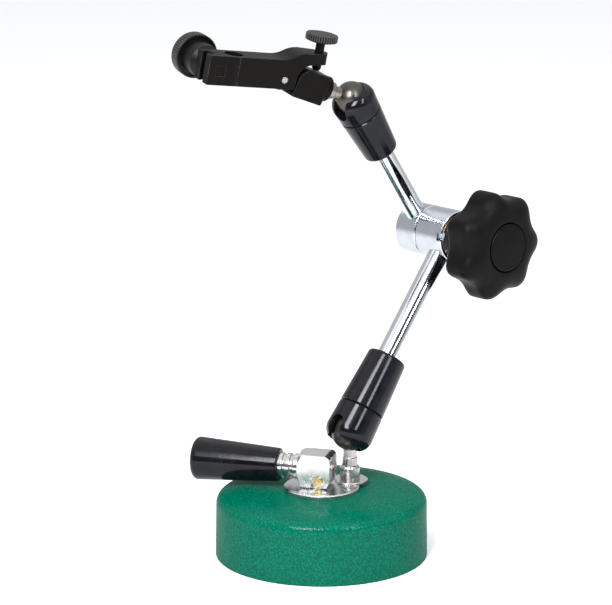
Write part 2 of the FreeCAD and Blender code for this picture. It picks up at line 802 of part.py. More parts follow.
def build_sleeve(arm, placement):
    """The tapered sleeve that is screwed into the cap and holds the tube."""
    seam = dim(f"{arm}_groove") + dim("hub_gap")
    spigot = dim(f"{arm}_spigot_radius")
    pad_bore = dim(f"{arm}_pad_radius") + dim("slip")
    end = dim(f"{arm}_sleeve_end")
    end_radius = dim(f"{arm}_sleeve_radius")
    tube = dim(f"{arm}_tube_radius")
    rod_bore = dim(f"{arm}_push_radius") + 0.3
    end_round = 1.4
    sleeve = turned(
        f"{arm}_sleeve_body",
        [
            (pad_bore, SEAT_TOP),
            (spigot, SEAT_TOP),
            (spigot, seam),
            (sleeve_radius_at(arm, seam) - 0.4, seam),
            (sleeve_radius_at(arm, seam + 0.4), seam + 0.4),
            (end_radius, end - end_round),
            (end_radius - end_round, end, end_round, 1),
            (tube, end),
            (tube, TUBE_SEAT),
            (rod_bore, TUBE_SEAT),
            (rod_bore, PAD_POCKET),
            (pad_bore, PAD_POCKET),
        ],
    )
    node(sleeve, f"{arm}_sleeve", placement)


def build_thrust_train(arm, placement, length, tip_reach):
    """Pad on the ball, push rod behind it and the tube around the rod."""
    pad_radius = dim(f"{arm}_pad_radius")
    seat = dim(f"{arm}_ball_radius") + dim("slip")
    pad_blank = cylinder(f"{arm}_pad_blank", pad_radius, PAD_START, PAD_END)
    pad = cut(f"{arm}_pad_cut", pad_blank, sphere(f"{arm}_pad_seat", seat))
    node(pad, f"{arm}_ball_pad", placement)

    push = dim(f"{arm}_push_radius")
    tip = length - tip_reach
    shaft = cylinder(f"{arm}_push_shaft", push, PAD_END + 0.05, tip)
    rod = fuse(f"{arm}_push_fused", shaft, sphere(f"{arm}_push_tip", push, tip))
    node(rod, f"{arm}_push_rod", placement)

    tube_end = length - TUBE_INSET
    outer = cylinder(f"{arm}_tube_outer", dim(f"{arm}_tube_radius"), TUBE_SEAT, tube_end)
    inner = cylinder(f"{arm}_tube_inner", push + 0.3, TUBE_SEAT - 1, tube_end + 1)
    node(cut(f"{arm}_tube_cut", outer, inner), f"{arm}_tube", placement)


TUBE_INSET = 8.5


def tube_socket(arm, angle, z):
    """The tool that bores a hub for a tube and its push rod, square to the hub's axis."""
    push = dim(f"{arm}_push_radius") + 0.15
    tube_bore = cylinder(f"{arm}_hub_tube_bore", dim(f"{arm}_tube_radius"), TUBE_INSET, 14)
    rod_bore = cylinder(f"{arm}_hub_rod_bore", push, 0, 9)
    tool = fuse(f"{arm}_hub_socket", tube_bore, rod_bore)
    direction = FreeCAD.Vector(math.cos(angle), math.sin(angle), 0)
    return put(tool, 0, 0, z, FreeCAD.Rotation(FreeCAD.Vector(0, 0, 1), direction))


def hub_blank(name, start, end):
    edge = 0.35
    radius = dim("hub_radius")
    bore = dim("bolt_radius") + dim("slip")
    return turned(
        name,
        [
            (bore, start),
            (radius - edge, start),
            (radius, start + edge),
            (radius, end - edge),
            (radius - edge, end),
            (bore, end),
        ],
    )


def build_knuckle():
    """Two hubs on one bolt. Its cone and the wedge drive both push rods outwards."""
    gap = dim("hub_gap")
    cone_bore = dim("cone_radius") + dim("slip")
    lower_end = dim("lower_hub_length")
    lower_axis = dim("lower_tube_offset")
    upper_end = -dim("upper_hub_length")
    upper_axis = -dim("upper_tube_offset")

    notch = box("hub_notch", (-dim("hub_radius") - 1, -8.2), (-0.4, 2.9), (lower_end - 2.3, 17))
    lower = cut(
        "lower_hub_cut",
        hub_blank("lower_hub_blank", gap, lower_end),
        cylinder("lower_hub_chamber", cone_bore, 4, lower_end + 1),
        tube_socket("lower", math.pi * 1.5 - lower_lean, lower_axis),
        notch,
    )
    node(lower, "lower_hub", KNUCKLE)
    upper = cut(
        "upper_hub_cut",
        hub_blank("upper_hub_blank", upper_end, -gap),
        cylinder("upper_hub_chamber", cone_bore, upper_end - 1, -2.0),
        tube_socket("upper", math.pi / 2 + upper_lean, upper_axis),
    )
    node(upper, "upper_hub", KNUCKLE)

    large = dim("cone_radius")
    small = dim("cone_small_radius")
    taper = 2.5
    bolt = turned(
        "bolt_blank",
        [
            (0, upper_end + 0.3),
            (large - 0.5, upper_end + 0.3),
            (large, upper_end + 0.8),
            (large, upper_axis - taper),
            (small, upper_axis + taper),
            (dim("bolt_radius"), upper_axis + taper),
            (dim("bolt_radius"), BOLT_END - 0.8),
            (dim("bolt_radius") - 0.8, BOLT_END),
            (0, BOLT_END),
        ],
    )
    socket = prism("bolt_socket", "XY_Plane", regular_polygon(6, 5.0), 6.0)
    put(socket, 0, 0, upper_end + 0.3)
    node(cut("bolt_cut", bolt, socket), "clamp_bolt", KNUCKLE)

    bolt_clear = dim("bolt_radius") + dim("slip") / 2
    wedge = turned(
        "wedge",
        [
            (bolt_clear, lower_axis - taper),
            (small, lower_axis - taper),
            (large, lower_axis + taper),
            (large, lower_end + 0.5),
            (bolt_clear, lower_end + 0.5),
        ],
    )
    node(wedge, "clamp_wedge", KNUCKLE)
    washer_start = lower_end + 0.55
    washer_end = washer_start + 1.1
    washer = turned(
        "thrust_washer_blank",
        [
            (bolt_clear, washer_start),
            (9.0, washer_start),
            (9.0, washer_end),
            (bolt_clear, washer_end),
        ],
    )
    node(washer, "thrust_washer", KNUCKLE)


BOLT_END = 34.0
INSERT_RADIUS = 5.0
INSERT_END = 36.0
LOBES = 7
LOBE_PHASE = math.radians(49)


def star_outline():
    """Lobes and hollows as tangent arcs, counted anticlockwise about the knob's axis."""
    lobe = dim("knob_lobe_radius").value
    hollow = dim("knob_valley_radius").value
    lobe_reach = dim("knob_radius").value - lobe
    hollow_reach = dim("knob_valley_reach").value
    step = math.pi / LOBES
    across = FreeCAD.Vector(hollow_reach * math.cos(step), hollow_reach * math.sin(step), 0)
    centre = FreeCAD.Vector(lobe_reach, 0, 0)
    touch = centre + (across - centre).normalize() * lobe
    reach = touch.Length
    spread = math.atan2(touch.y, touch.x)
    # The hollow's radius follows from where the lobes end, so that every arc closes.
    gap = 2 * (reach * math.sin(step - spread))
    sink = reach * math.cos(step - spread)
    hollow = math.hypot(gap / 2, hollow_reach - sink)
    corners = []
    for index in range(LOBES):
        middle = LOBE_PHASE + 2 * step * index
        for angle, radius, side in ((middle - spread, hollow, -1), (middle + spread, lobe, 1)):
            corners.append((reach * math.cos(angle), reach * math.sin(angle), radius, side))
    return corners


def build_knob():
    """Seven-lobed knob with its threaded insert and front cap."""
    start = dim("knob_start")
    back = dim("knob_back")
    rim = dim("knob_rim")
    front = dim("knob_front")
    radius = dim("knob_radius")
    cap = dim("cap_radius")
    star = extruded("star_prism", "XY_Plane", star_outline(), rim + 0.9 - back)
    put(star, 0, 0, (rim + 0.9 + back) / 2)
    edge = 3.0
    profile = turned(
        "star_profile",
        [
            (INSERT_RADIUS, start),
            (10.9, start),
            (11.6, start + 0.8),
            (13.6, back - 1.5),
            (16.0, back, 3.0, -1),
            (radius - edge, back),
            (radius + 0.2, back + edge, edge + 0.5, 1),
            (radius + 0.2, rim - edge),
            (radius - edge, rim + 0.9, edge + 1.0, 1),
            (cap + 0.9, front, 26.0, 1),
            (cap + 0.25, front - 0.7),
            (cap + 0.25, front - 1.8),
            (INSERT_RADIUS, front - 1.8),
        ],
    )
    boss = cylinder("star_boss", 18.0, start - 1, back + 0.5)
    soft_star = rounded("star_soft", star, 2.4, lambda edge: edge.BoundBox.ZLength < 0.01)
    grown = fuse("star_grown", boss, soft_star)
    node(common("star_shape", grown, profile), "star_knob", KNUCKLE)

    bore = dim("bolt_radius") + dim("slip") / 2
    insert = turned(
        "insert_blank",
        [
            (bore, start + 0.1),
            (INSERT_RADIUS, start + 0.1),
            (INSERT_RADIUS, INSERT_END),
            (bore, INSERT_END),
        ],
    )
    node(insert, "knob_insert", KNUCKLE)
    disc = turned(
        "cap_blank",
        [
            (0, front - 1.8),
            (cap, front - 1.8),
            (cap, front - 0.2),
            (cap - 0.8, front + 0.5, 0.9, 1),
            (3.0, front + 0.75),
            (0, front + 0.75),
        ],
    )
    node(disc, "knob_cap", KNUCKLE)


# ---------------------------------------------------------------- indicator clamp

STUD_THREAD = 2.0


def build_rear_block():
    """Block on the upper ball stud, with a tongue that the clamp body pivots on."""
    slip = dim("slip")
    width = dim("clamp_width")
    low = -dim("block_bottom")
    top = dim("block_top")
    front = -dim("block_front")
    back = -dim("block_back")
    corner = 3.4
    blank = extruded(
        "rear_blank",
        "XZ_Plane",
        [
            (front, low),
            (front, top - corner - 1.0),
            (front - corner, top, 6.5, 1),
            (back + 0.6, top),
            (back, top - 0.6),
            (back, low + 0.6),
            (back + 0.6, low),
        ],
        width,
    )
    half = dim("tongue_width") / 2
    tongue_radius = dim("tongue_radius")
    tongue = fuse(
        "tongue_fused",
        cylinder_y("tongue_end", tongue_radius, -half, half),
        box("tongue_bar", (front - 2, 0), (-half, half), (-4.2, 4.2)),
    )
    rise = dim("stud_rise")
    boss = cylinder_x("rear_boss", dim("boss_radius"), -dim("boss_end"), back + 1, 0, rise)
    grown = fuse("rear_fused", blank, tongue, boss)
    pivot_hole = cylinder_y("rear_pivot_hole", dim("pivot_radius") + slip / 2, -10, 10)
    stud_hole = cylinder_x("rear_stud_hole", STUD_THREAD, -dim("boss_end") - 1, back + 7, 0, rise)
    node(cut("rear_cut", grown, pivot_hole, stud_hole), "rear_block", REAR)


def build_upper_stud():
    """Collared stud from the upper ball into the rear block."""
    flat = ball_flat("upper") + dim("slip")
    face = dim("ball_reach") - dim("boss_end")
    neck = dim("upper_neck_radius")
    depth = dim("ball_reach") - dim("block_back") + 5
    stud = turned(
        "upper_stud",
        [
            (0, 0),
            (SPIGOT_RADIUS, 0),
            (SPIGOT_RADIUS, flat),
            (neck, flat),
            (neck, face - 3.6),
            (3.1, face - 3.4),
            (3.7, face - 2.9),
            (3.7, face),
            (STUD_THREAD, face),
            (STUD_THREAD, depth),
            (0, depth),
        ],
    )
    node(stud, "upper_ball_stud", STUD)


def clamp_side_outline():
    """Side view: jaws at the front, a raised tail with the screw tab at the back."""
    top = dim("clamp_top")
    low = -dim("clamp_bottom")
    reach = dim("clamp_reach")
    tab_top = dim("tab_top")
    tab_low = dim("tab_bottom")
    tail = -dim("thumb_reach") - dim("tab_end_radius")
    middle = (top + tab_top) / 2
    rise = (tab_top - top) / 2
    bend = (36 + rise * rise) / (2 * rise)
    return [
        (reach, low + 0.3),
        (reach, top - 0.3),
        (reach - 0.3, top),
        (3.0, top),
        (-3.0, middle, bend, -1),
        (-9.0, tab_top, bend, 1),
        (tail, tab_top),
        (tail, tab_low),
        (-12.2, tab_low),
        (-5.4, 0.6, 6.0, -1),
        (-4.8, low),
        (reach - 0.3, low),
    ]


def clamp_plan_outline():
    """Top view: full width at the jaws, narrowed to a round end at the screw tab."""
    half = dim("clamp_width") / 2
    tail = -dim("thumb_reach")
    end = dim("tab_end_radius")
    reach = dim("clamp_reach") + 1
    return [
        (reach, half),
        (-8.5, half),
        (tail, end, 40.0, 1),
        (tail - end, 0, end, 1),
        (tail, -end, end, 1),
        (-8.5, -half, 40.0, 1),
        (reach, -half),
    ]


def is_long_flank_edge(edge):
    """The edges between the clamp body's two flanks and its top and underside."""
    half = dim("clamp_width").value / 2
    bounds = edge.BoundBox
    on_flank = abs(abs(bounds.YMin) - half) < 0.01 and bounds.YLength < 0.01
    on_top = bounds.ZMin > dim("clamp_top").value - 0.05
    underneath = bounds.ZMax < 0.05 - dim("clamp_bottom").value
    return on_flank and bounds.XLength > 5 and (on_top or underneath)


def build_clamp_body():
    """Split body with a stem bore, a dovetail groove and the pivot slot."""
    reach = dim("clamp_reach")
    width = dim("clamp_width")
    half = width / 2
    screw_x = dim("clamp_screw_reach")
    bore_x = dim("stem_bore_reach")
    bore = dim("stem_bore_radius")
    side = extruded("clamp_side", "XZ_Plane", clamp_side_outline(), width + 2)
    plan = extruded("clamp_plan", "XY_Plane", clamp_plan_outline(), 60)
    sharp = common("clamp_blank", side, plan)
    blank = rounded("clamp_soft", sharp, 0.45, is_long_flank_edge)
    low = -dim("clamp_bottom") - 1
    high = dim("clamp_top") + 1
    stem = cylinder("clamp_stem_bore", bore, low, high, bore_x, 0)
    slit = box("clamp_slit", (bore_x, reach + 1), (-0.45, 0.45), (low, high))
    dovetail = extruded(
        "clamp_dovetail",
        "XY_Plane",
        [
            (reach + 0.5, -1.95),
            (reach + 0.5, 1.95),
            (reach - 0.6, 1.95),
            (reach - 3.0, 3.1),
            (reach - 3.0, -3.1),
            (reach - 0.6, -1.95),
        ],
        60,
    )
    slot_half = dim("tongue_width") / 2 + 0.15
    slot = box("clamp_slot", (-30, 9.6), (-slot_half, slot_half), (low - 5, 5.9))
    pivot_hole = cylinder_y("clamp_pivot_hole", dim("pivot_radius"), -half - 1, half + 1)
    screw_hole = cylinder_y("clamp_screw_hole", 2.1, -half - 1, half + 1, screw_x, JAW_SCREW_Z)
    pocket = box(
        "clamp_screw_pocket",
        (screw_x - 2.2, screw_x + 2.2),
        (half - 2.3, half + 1),
        (JAW_SCREW_Z - 2.2, JAW_SCREW_Z + 2.2),
    )
    flexure = box("clamp_flexure", (bore_x - 0.4, bore_x + 0.4), (half - 0.6, half + 1), (low, high))
    thumb_hole = cylinder("clamp_thumb_hole", THUMB_RADIUS + 0.05, 0, 20, -dim("thumb_reach"), 0)
    tools = (stem, slit, dovetail, slot, pivot_hole, screw_hole, pocket, flexure, thumb_hole)
    node(cut("clamp_cut", blank, *tools), "clamp_body", CLAMP)


JAW_SCREW_Z = 2.2
THUMB_RADIUS = 1.9


def build_clamp_hardware():
    """Pivot pin, fine adjustment screw and the screw and knob that close the jaws."""
    half = dim("clamp_width") / 2
    pin_radius = dim("pivot_radius")
    pin_end = half - 0.15
    pin = turned(
        "pivot_pin_turned",
        [
            (0, -pin_end),
            (pin_radius - 0.2, -pin_end),
            (pin_radius, -pin_end + 0.2),
            (pin_radius, pin_end - 0.2),
            (pin_radius - 0.2, pin_end),
            (0, pin_end),
        ],
    )
    node(pin, "pivot_pin", CLAMP.multiply(FreeCAD.Placement(FreeCAD.Vector(), ALONG_Y)))

    # A small compression spring holds the adjusting screw's tip on the rear block.
    spring_outer = cylinder_x("spring_outer", 1.5, 4.9, 9.5, 0, -2.2)
    spring_inner = cylinder_x("spring_inner", 1.0, 4.0, 10.5, 0, -2.2)
    node(cut("spring_cut", spring_outer, spring_inner), "adjust_spring", CLAMP)

    head_low = 15.3
    head_high = 19.2
    head_radius = 6.8
    tip = 3.7
    spindle = turned(
        "spindle",
        [
            (0, tip),
            (1.2, tip),
            (THUMB_RADIUS, tip + 0.9),
            (THUMB_RADIUS, head_low + 2.6),
            (0, head_low + 2.6),
        ],
    )
    thumb_axis = FreeCAD.Placement(vector(-dim("thumb_reach"), 0, 0), FreeCAD.Rotation())
    node(spindle, "adjust_spindle", CLAMP.multiply(thumb_axis))
    head = turned(
        "thumb_head",
        [
            (THUMB_RADIUS + 0.05, head_low),
            (2.8, head_low),
            (head_radius - 0.3, head_low + 1.1),
            (head_radius, head_low + 1.4),
            (head_radius, head_high - 0.3),
            (head_radius - 0.3, head_high),
            (0, head_high),
            (0, head_low + 2.65),
            (THUMB_RADIUS + 0.05, head_low + 2.65),
        ],
    )
    node(head, "adjust_thumb_head", CLAMP.multiply(thumb_axis))

    screw_x = dim("clamp_screw_reach")
    screw = fuse(
        "jaw_screw_fused",
        cylinder_y("jaw_screw_shaft", 1.95, -KNOB_END + 2.2, half - 1.0, screw_x, JAW_SCREW_Z),
        box(
            "jaw_screw_head",
            (screw_x - 2.05, screw_x + 2.05),
            (half - 2.2, half - 0.5),
            (JAW_SCREW_Z - 2.05, JAW_SCREW_Z + 2.05),
        ),
    )
    node(screw, "jaw_screw", CLAMP)

    knob = turned(
        "jaw_knob_blank",
        [
            (2.0, half + 0.3),
            (5.2, half + 0.3),
            (7.0, half + 2.4),
            (7.0, KNOB_START + 0.9),
            (8.2, KNOB_START + 0.9),
            (8.5, KNOB_START),
            (8.9, KNOB_START),
            (9.4, KNOB_START + 0.5),
            (9.4, KNOB_END - 0.8),
            (8.6, KNOB_END),
            (0, KNOB_END),
            (0, KNOB_END - 2.1),
            (2.0, KNOB_END - 2.1),
        ],
    )
    outward = FreeCAD.Rotation(FreeCAD.Vector(1, 0, 0), 90)
    knob_place = FreeCAD.Placement(vector(screw_x, 0, JAW_SCREW_Z), outward)
    node(knob, "jaw_knob", CLAMP.multiply(knob_place))


KNOB_START = 16.8
KNOB_END = 22.6


def build():
    build_base()
    build_lower_stud()
    build_magnet_lift()
    build_lever()
    build_ball("lower", FreeCAD.Placement(lower_ball, FreeCAD.Rotation()))
    build_ball("upper", STUD.multiply(FreeCAD.Placement(FreeCAD.Vector(), FreeCAD.Rotation(0, 0, 180))))
    build_socket_cap("lower", LOWER_ARM, -1)
    build_socket_cap("upper", UPPER_ARM, 1)
    for arm, placement, tip_reach in (("lower", LOWER_ARM, 7.85), ("upper", UPPER_ARM, 7.45)):
        build_sleeve(arm, placement)
        build_thrust_train(arm, placement, dim(f"{arm}_length"), tip_reach)
    build_knuckle()
    build_knob()
    build_rear_block()
    build_upper_stud()
    build_clamp_body()
    build_clamp_hardware()
    doc.recompute()


def check_and_export():
    """Stops on a failed feature or a broken solid, then writes one STEP file per node."""
    failed = [item.Name for item in doc.Objects if {"Invalid", "Error"} & set(item.State)]
    for item in nodes:
        shape = item.Shape
        if shape.isNull() or not shape.isValid() or not shape.Solids:
            failed.append(item.Label)
    if failed:
        raise RuntimeError(f"these did not build: {failed}")
    os.makedirs("parts", exist_ok=True)
    for item in nodes:
        item.Shape.exportStep(f"parts/{item.Label}.step")
        print(f"{item.Label}: {len(item.Shape.Solids)} solid, {item.Shape.Volume:.1f} mm3")


build()
check_and_export()
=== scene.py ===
import json
import math

import bmesh
import bpy
from mathutils import Matrix, Vector


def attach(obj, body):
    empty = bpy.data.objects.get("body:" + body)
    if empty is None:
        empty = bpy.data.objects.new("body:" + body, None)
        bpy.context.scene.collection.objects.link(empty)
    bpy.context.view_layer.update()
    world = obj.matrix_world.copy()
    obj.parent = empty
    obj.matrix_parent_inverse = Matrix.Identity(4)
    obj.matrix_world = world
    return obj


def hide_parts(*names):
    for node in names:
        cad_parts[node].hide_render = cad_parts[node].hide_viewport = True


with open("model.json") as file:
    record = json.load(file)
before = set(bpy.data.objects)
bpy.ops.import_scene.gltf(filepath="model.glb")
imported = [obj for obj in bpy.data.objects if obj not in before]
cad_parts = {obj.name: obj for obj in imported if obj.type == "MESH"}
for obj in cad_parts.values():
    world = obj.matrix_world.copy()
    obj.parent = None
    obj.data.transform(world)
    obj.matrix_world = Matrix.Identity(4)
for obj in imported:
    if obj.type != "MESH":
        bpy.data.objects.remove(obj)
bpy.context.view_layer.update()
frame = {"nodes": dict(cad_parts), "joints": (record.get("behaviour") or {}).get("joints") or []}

NODES = frame["nodes"]
JOINTS = {joint["name"]: joint for joint in frame["joints"]}
MM = 0.001


def joint_line(name):
    """A point on a hinge's axis and the axis's direction, in the row frame."""
    joint = JOINTS[name]
    return Vector(joint["pos_m"]), Vector(joint["axis"]).normalized()


def across(axis):
    """Two unit vectors square to an axis and to each other."""
    helper = Vector((0, 0, 1)) if abs(axis.z) < 0.9 else Vector((1, 0, 0))
    first = axis.cross(helper).normalized()
    return first, axis.cross(first).normalized()


# ---------------------------------------------------------------- materials


class Surface:
    """A Principled material, to which the surface's detail is added node by node."""

    def __init__(self, name, colour, metallic=0.0, roughness=0.5, coat=0.0, coat_roughness=0.05):
        self.material = bpy.data.materials.new(name)
        self.material.use_nodes = True
        self.tree = self.material.node_tree
        self.shader = self.tree.nodes["Principled BSDF"]
        self.set("Base Color", (*colour, 1.0))
        self.set("Metallic", metallic)
        self.set("Roughness", roughness)
        self.set("Coat Weight", coat)
        self.set("Coat Roughness", coat_roughness)
        self.place = self.add("ShaderNodeTexCoord").outputs["Object"]
        self.normal = None

    def set(self, socket, value):
        self.shader.inputs[socket].default_value = value

    def join(self, value, socket):
        """Feeds a socket with another socket's output or with a plain value."""
        if isinstance(value, bpy.types.NodeSocket):
            self.tree.links.new(value, socket)
        else:
            socket.default_value = value

    def add(self, kind, settings=(), **inputs):
        node = self.tree.nodes.new(kind)
        for name, value in dict(settings).items():
            setattr(node, name, value)
        for name, value in inputs.items():
            self.join(value, node.inputs[name.replace("_", " ")])
        return node

    def math(self, operation, first, second=0.0, clamp=False):
        node = self.add("ShaderNodeMath", {"operation": operation, "use_clamp": clamp})
        self.join(first, node.inputs[0])
        self.join(second, node.inputs[1])
        return node.outputs[0]

    def vector(self, operation, first, second=(0.0, 0.0, 0.0), output="Vector"):
        node = self.add("ShaderNodeVectorMath", {"operation": operation})
        self.join(first, node.inputs[0])
        self.join(second, node.inputs[1])
        return node.outputs[output]

    def scaled(self, vector, factor):
        node = self.add("ShaderNodeVectorMath", {"operation": "SCALE"})
        self.join(vector, node.inputs[0])
        self.join(factor, node.inputs["Scale"])
        return node.outputs["Vector"]

    def noise(self, size, detail=2.0, roughness=0.5, place=None):
        """Noise from 0 to 1 whose lumps are about size across, in metres."""
        node = self.add(
            "ShaderNodeTexNoise",
            Vector=place or self.place,
            Scale=1.0 / size,
            Detail=detail,
            Roughness=roughness,
        )
        return node.outputs["Fac"]

    def lines(self, distance, size, detail=3.0):
        """Noise that changes only with a distance: fine machining lines of about that size."""
        node = self.add("ShaderNodeTexNoise", {"noise_dimensions": "1D"}, W=distance)
        node.inputs["Scale"].default_value = 1.0 / size
        node.inputs["Detail"].default_value = detail
        return node.outputs["Fac"]

    def cells(self, size, smoothness, place):
        """Distance from the middle of irregular cells, 0 there and near 1 at their edges."""
        node = self.add(
            "ShaderNodeTexVoronoi",
            {"feature": "SMOOTH_F1"},
            Vector=place,
            Scale=1.0 / size,
            Smoothness=smoothness,
        )
        return node.outputs["Distance"]

    def span(self, value, low, high, new_low, new_high, smooth=False):
        node = self.add(
            "ShaderNodeMapRange", {"interpolation_type": "SMOOTHSTEP" if smooth else "LINEAR"}
        )
        for index, item in enumerate((value, low, high, new_low, new_high)):
            self.join(item, node.inputs[index])
        return node.outputs[0]

    def blend(self, factor, first, second):
        """Colour that goes from first to second with the factor."""
        node = self.add("ShaderNodeMix", {"data_type": "RGBA"})
        self.join(factor, node.inputs[0])
        for value, socket in ((first, node.inputs[6]), (second, node.inputs[7])):
            self.join(value if isinstance(value, bpy.types.NodeSocket) else (*value, 1.0), socket)
        return node.outputs[2]

    def about(self, origin, axis):
        """Sockets for the distance along a line and the distance from it."""
        offset = self.vector("SUBTRACT", self.place, tuple(origin))
        along = self.vector("DOT_PRODUCT", offset, tuple(axis), "Value")
        flat = self.vector("SUBTRACT", offset, self.scaled(tuple(axis), along))
        return along, self.vector("LENGTH", flat, output="Value")

    def soften(self, radius):
        """Rounds the light across sharp edges, and gives back a mask that is 1 on them."""
        bevel = self.add("ShaderNodeBevel", {"samples": 6}, Radius=radius)
        self.normal = bevel.outputs[0]
        true_normal = self.add("ShaderNodeNewGeometry").outputs["Normal"]
        same = self.vector("DOT_PRODUCT", self.normal, true_normal, "Value")
        return self.span(same, 0.995, 0.86, 0.0, 1.0, smooth=True)

    def bump(self, height, distance, strength=1.0):
        node = self.add(
            "ShaderNodeBump", Height=height, Distance=distance, Strength=strength
        )
        if self.normal is not None:
            self.tree.links.new(self.normal, node.inputs["Normal"])
        self.normal = node.outputs[0]

    def colour(self, socket):
        self.tree.links.new(socket, self.shader.inputs["Base Color"])

    def rough(self, socket):
        self.tree.links.new(socket, self.shader.inputs["Roughness"])

    def done(self, coat_bump=True):
        if self.normal is not None:
            self.tree.links.new(self.normal, self.shader.inputs["Normal"])
            if coat_bump and self.shader.inputs["Coat Weight"].default_value > 0:
                self.tree.links.new(self.normal, self.shader.inputs["Coat Normal"])
        return self.material


def hammered_enamel(name, dark, light):
    """Stove enamel with a hammered skin: small dished islands that run into each other."""
    surface = Surface(name, light, roughness=0.2, coat=0.17, coat_roughness=0.06)
    surface.set("Specular IOR Level", 0.0)
    drift = surface.add("ShaderNodeTexNoise", Vector=surface.place, Scale=700.0)
    bent = surface.vector(
        "ADD", surface.place, surface.scaled(drift.outputs["Color"], 0.0007)
    )
    islands = surface.cells(0.8 * MM, 0.35, bent)
    fine = surface.cells(0.45 * MM, 0.3, bent)
    broad = surface.noise(9 * MM, 3.0)
    shade = surface.span(islands, 0.15, 0.62, 1.0, 0.0, smooth=True)
    shade = surface.math("MULTIPLY", shade, surface.span(broad, 0.3, 0.7, 0.7, 1.0))
    surface.colour(surface.blend(shade, dark, light))
    surface.rough(surface.span(fine, 0.1, 0.6, 0.11, 0.2))
    surface.bump(islands, 0.16 * MM, 0.5)
    surface.bump(fine, 0.04 * MM, 0.5)
    return surface.done()


def gloss_enamel(name, colour, skin=0.9 * MM, haze=0.10):
    """Glossy black enamel: a faint orange-peel skin and edges where the coat has thinned."""
    surface = Surface(name, colour, roughness=haze)
    surface.set("Specular IOR Level", 0.2)
    edge = surface.soften(0.25 * MM)
    cloud = surface.noise(6 * MM, 4.0)
    tint = surface.blend(surface.span(cloud, 0.35, 0.65, 0.0, 1.0), colour, (0.006, 0.006, 0.009))
    rubbed = surface.span(surface.noise(0.8 * MM, 3.0), 0.45, 0.6, 0.0, 0.55)
    worn = surface.math("MULTIPLY", edge, rubbed)
    surface.colour(surface.blend(worn, tint, (0.05, 0.049, 0.05)))
    surface.rough(surface.span(cloud, 0.3, 0.7, haze, haze + 0.07))
    surface.bump(surface.noise(skin, 2.0), 0.02 * MM, 0.35)
    return surface.done()


def polished(name, colour, axis_of, roughness=0.09, lines=0.12 * MM, depth=0.0012 * MM):
    """Bright turned and polished metal with faint marks round its axis."""
    surface = Surface(name, colour, metallic=1.0, roughness=roughness)
    surface.soften(0.15 * MM)
    along, out = surface.about(*axis_of)
    marks = surface.lines(surface.math("ADD", along, out), lines)
    smear = surface.noise(5 * MM, 4.0, 0.6)
    surface.rough(
        surface.math(
            "ADD",
            surface.span(smear, 0.3, 0.7, roughness * 0.7, roughness * 1.5),
            surface.span(marks, 0.4, 0.75, 0.0, 0.05),
        )
    )
    tone = tuple(0.86 * part for part in colour)
    surface.colour(surface.blend(surface.span(smear, 0.35, 0.75, 0.0, 1.0), colour, tone))
    surface.bump(marks, depth, 0.6)
    return surface.done()


def turned_steel(name, colour, axis_of, roughness=0.24, pitch=0.22 * MM):
    """Faced steel with visible rings left by the lathe tool."""
    surface = Surface(name, colour, metallic=1.0, roughness=roughness)
    surface.soften(0.12 * MM)
    along, out = surface.about(*axis_of)
    rings = surface.lines(surface.math("ADD", along, out), pitch, 2.0)
    fine = surface.lines(surface.math("ADD", along, out), pitch / 4, 2.0)
    stain = surface.noise(4 * MM, 4.0, 0.6)
    surface.rough(surface.span(stain, 0.3, 0.7, roughness * 0.8, roughness * 1.4))
    tone = tuple(0.72 * part for part in colour)
    surface.colour(surface.blend(surface.span(rings, 0.4, 0.7, 0.0, 0.8), colour, tone))
    surface.bump(rings, 0.006 * MM, 0.6)
    surface.bump(fine, 0.002 * MM, 0.5)
    return surface.done()


def ground_steel(name, colour, along, roughness=0.3):
    """Steel ground in one direction, with fine straight scratches."""
    surface = Surface(name, colour, metallic=1.0, roughness=roughness)
    surface.soften(0.12 * MM)
    side = surface.vector("DOT_PRODUCT", surface.place, tuple(along), "Value")
    scratches = surface.lines(side, 0.09 * MM, 4.0)
    stain = surface.noise(7 * MM, 4.0, 0.6)
    surface.rough(surface.span(stain, 0.3, 0.7, roughness * 0.8, roughness * 1.3))
    tone = tuple(0.8 * part for part in colour)
    surface.colour(surface.blend(surface.span(scratches, 0.35, 0.7, 0.0, 1.0), colour, tone))
    surface.bump(scratches, 0.003 * MM, 0.6)
    return surface.done()


def blackened_steel(name, colour, worn_colour, roughness=0.38):
    """Chemically blackened steel: a thin satin skin, rubbed bright along its edges."""
    surface = Surface(name, colour, metallic=0.0, roughness=roughness)
    surface.set("Specular IOR Level", 0.06)
    edge = surface.soften(0.22 * MM)
    grain = surface.noise(0.35 * MM, 3.0)
    cloud = surface.noise(5 * MM, 4.0, 0.6)
    rubbed = surface.math("MULTIPLY", edge, surface.span(cloud, 0.35, 0.65, 0.15, 0.8))
    warm = tuple(part * scale for part, scale in zip(colour, (1.35, 1.15, 1.0)))
    skin = surface.blend(surface.span(cloud, 0.35, 0.7, 0.0, 1.0), colour, warm)
    surface.colour(surface.blend(rubbed, skin, worn_colour))
    surface.rough(surface.span(grain, 0.3, 0.7, roughness * 0.85, roughness * 1.2))
    surface.bump(grain, 0.008 * MM, 0.4)
    return surface.done()


